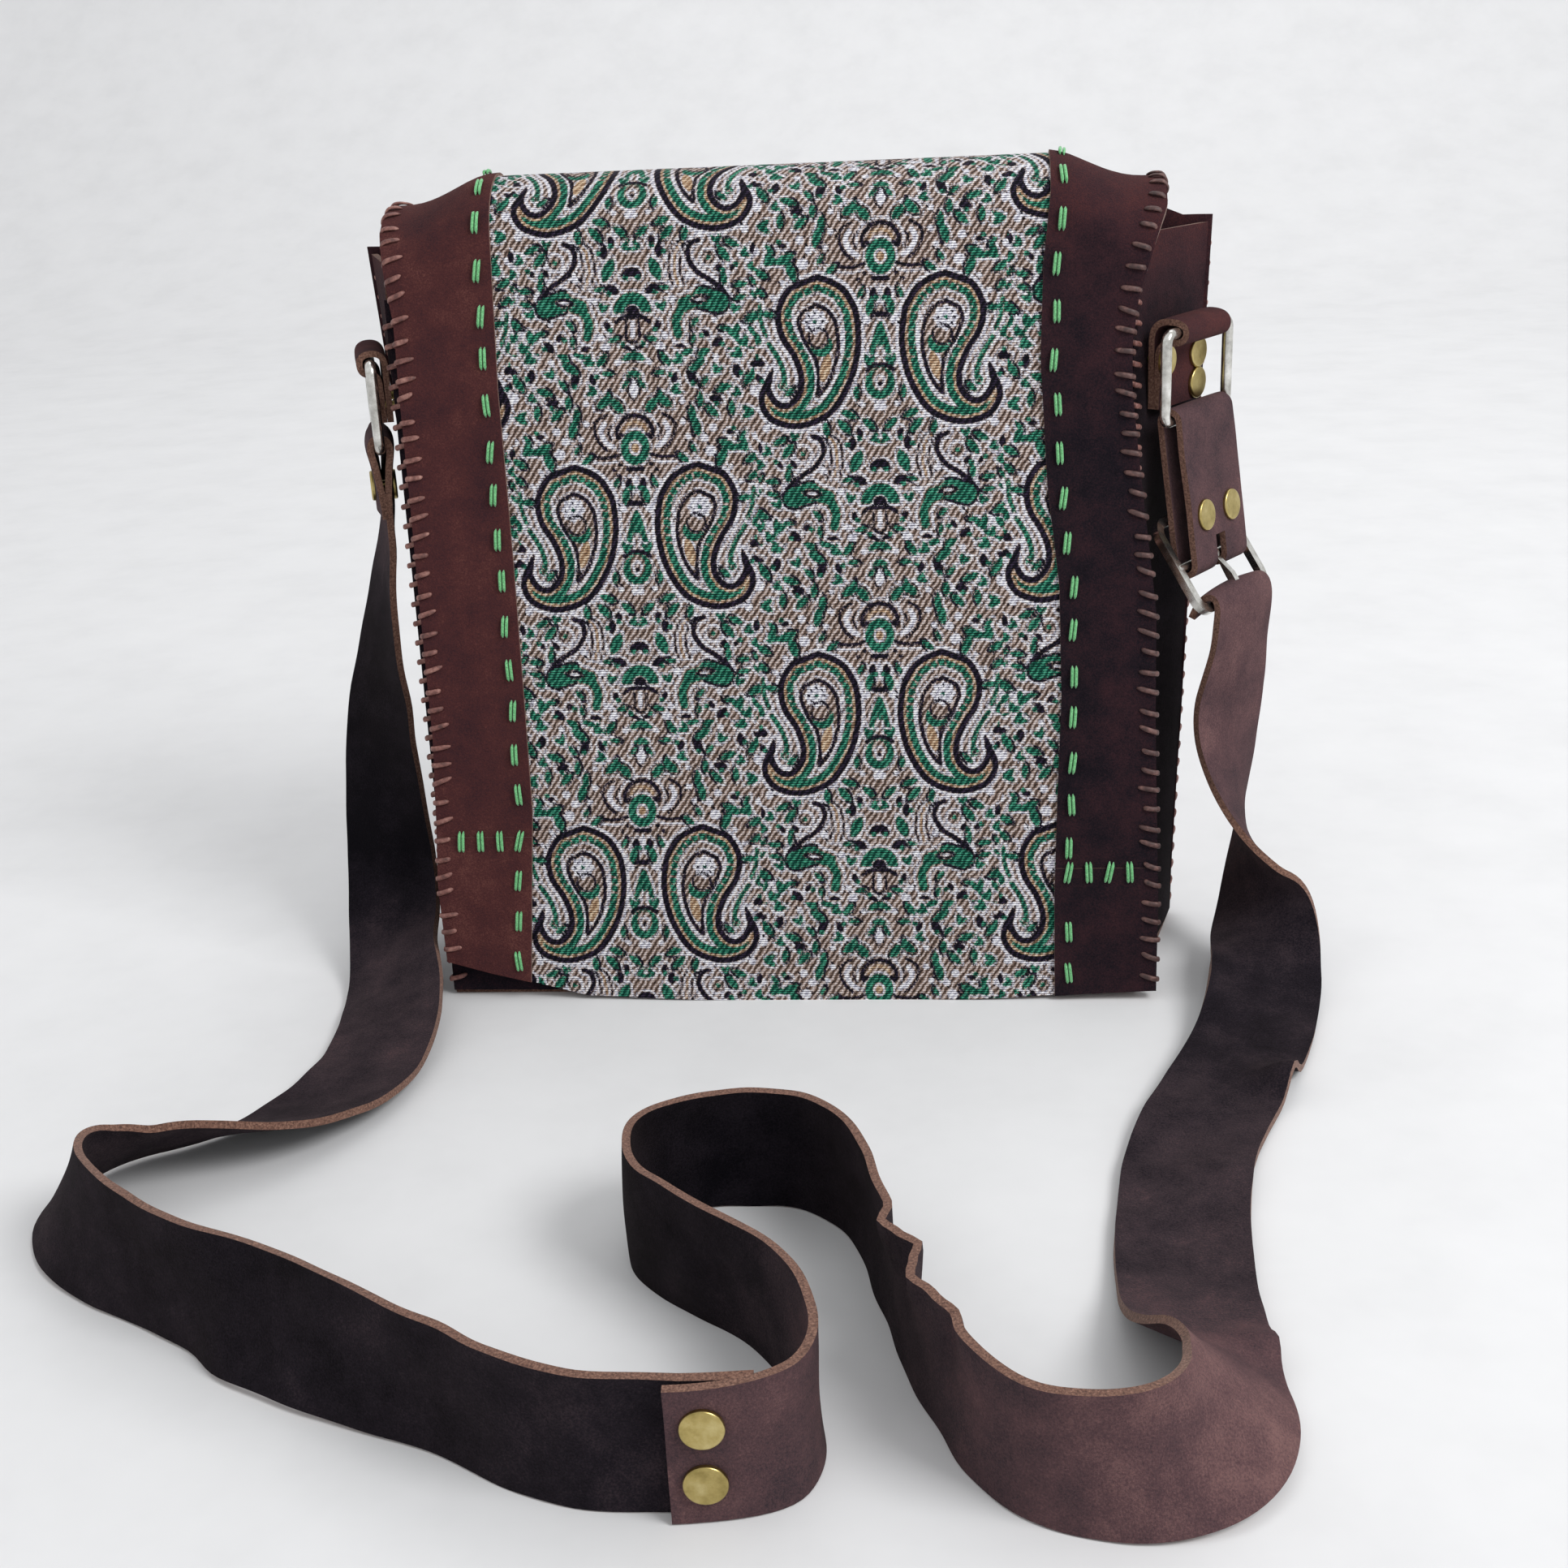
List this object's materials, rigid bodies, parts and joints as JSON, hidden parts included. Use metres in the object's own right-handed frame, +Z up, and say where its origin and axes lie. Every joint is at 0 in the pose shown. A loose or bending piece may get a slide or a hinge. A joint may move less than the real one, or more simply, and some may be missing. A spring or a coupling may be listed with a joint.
{
  "type": "crossbody bag",
  "caption": "Flat crossbody bag with a woven paisley flap, suede side strips, laced edges, wire rings, a buckle and a long strap.",
  "frame": {"origin": "middle of the base panel's underside", "axes": "+X to the right in the picture, -Y out of the flap, +Z up"},
  "size_m": [0.3725, 0.333, 0.2611],
  "materials": {
    "suede": "matte",
    "strap_suede": "matte",
    "lace": "satin",
    "brocade": "satin",
    "green_thread": "satin",
    "brass": "satin",
    "silver": "polished"
  },
  "bodies": {
    "bag": {"base_panel": "suede", "front_panel": "suede", "back_panel": "suede", "left_gusset": "suede", "right_gusset": "suede", "front_left_lacing": "lace", "front_right_lacing": "lace", "back_left_lacing": "lace", "back_right_lacing": "lace", "left_tab": "suede", "right_tab": "suede", "left_tab_rivets": "brass", "right_tab_rivets": "brass", "strap_left": "strap_suede", "strap_right": "strap_suede", "strap_joint_rivets": "brass"},
    "flap": {"flap_lining": "suede", "flap_brocade": "brocade", "flap_left_strip": "suede", "flap_right_strip": "suede", "flap_left_patch": "suede", "flap_right_patch": "suede", "flap_left_lacing": "lace", "flap_right_lacing": "lace", "flap_left_stitches": "green_thread", "flap_right_stitches": "green_thread"},
    "left_ring": {"left_ring": "silver", "strap_left_rivet": "brass"},
    "right_ring": {"right_ring": "silver"},
    "buckle_tab": {"buckle_tab": "suede", "buckle_tab_rivets": "brass"},
    "buckle": {"buckle_frame": "silver"},
    "prong": {"buckle_prong": "silver"}
  },
  "joints": [
    {"name": "flap_hinge", "type": "hinge", "parent": "bag", "child": "flap", "pos_m": [0, 0.05294, 0.2475], "axis": [-1, 0, 0], "range_deg": [0, 170]},
    {"name": "left_ring_swing", "type": "hinge", "parent": "bag", "child": "left_ring", "pos_m": [-0.13476, 0.02574, 0.205], "axis": [-0.3019, 0.9533, 0], "range_deg": [0, 60], "deforming": ["strap_left"]},
    {"name": "right_ring_swing", "type": "hinge", "parent": "bag", "child": "right_ring", "pos_m": [0.13302, 0.01992, 0.207], "axis": [-0.5647, -0.8253, 0], "range_deg": [0, 60], "deforming": ["strap_right"]},
    {"name": "buckle_tab_swing", "type": "hinge", "parent": "right_ring", "child": "buckle_tab", "pos_m": [0.13302, 0.01992, 0.18], "axis": [-0.5647, -0.8253, 0], "range_deg": [0, 60], "deforming": ["strap_right"]},
    {"name": "buckle_swing", "type": "hinge", "parent": "buckle_tab", "child": "buckle", "pos_m": [0.1388, 0.01597, 0.135], "axis": [-0.5647, -0.8253, 0], "range_deg": [0, 8], "deforming": ["strap_right"]},
    {"name": "prong_swing", "type": "hinge", "parent": "buckle", "child": "prong", "pos_m": [0.1388, 0.01597, 0.135], "axis": [-0.5647, -0.8253, 0], "range_deg": [0, 55]}
  ]
}
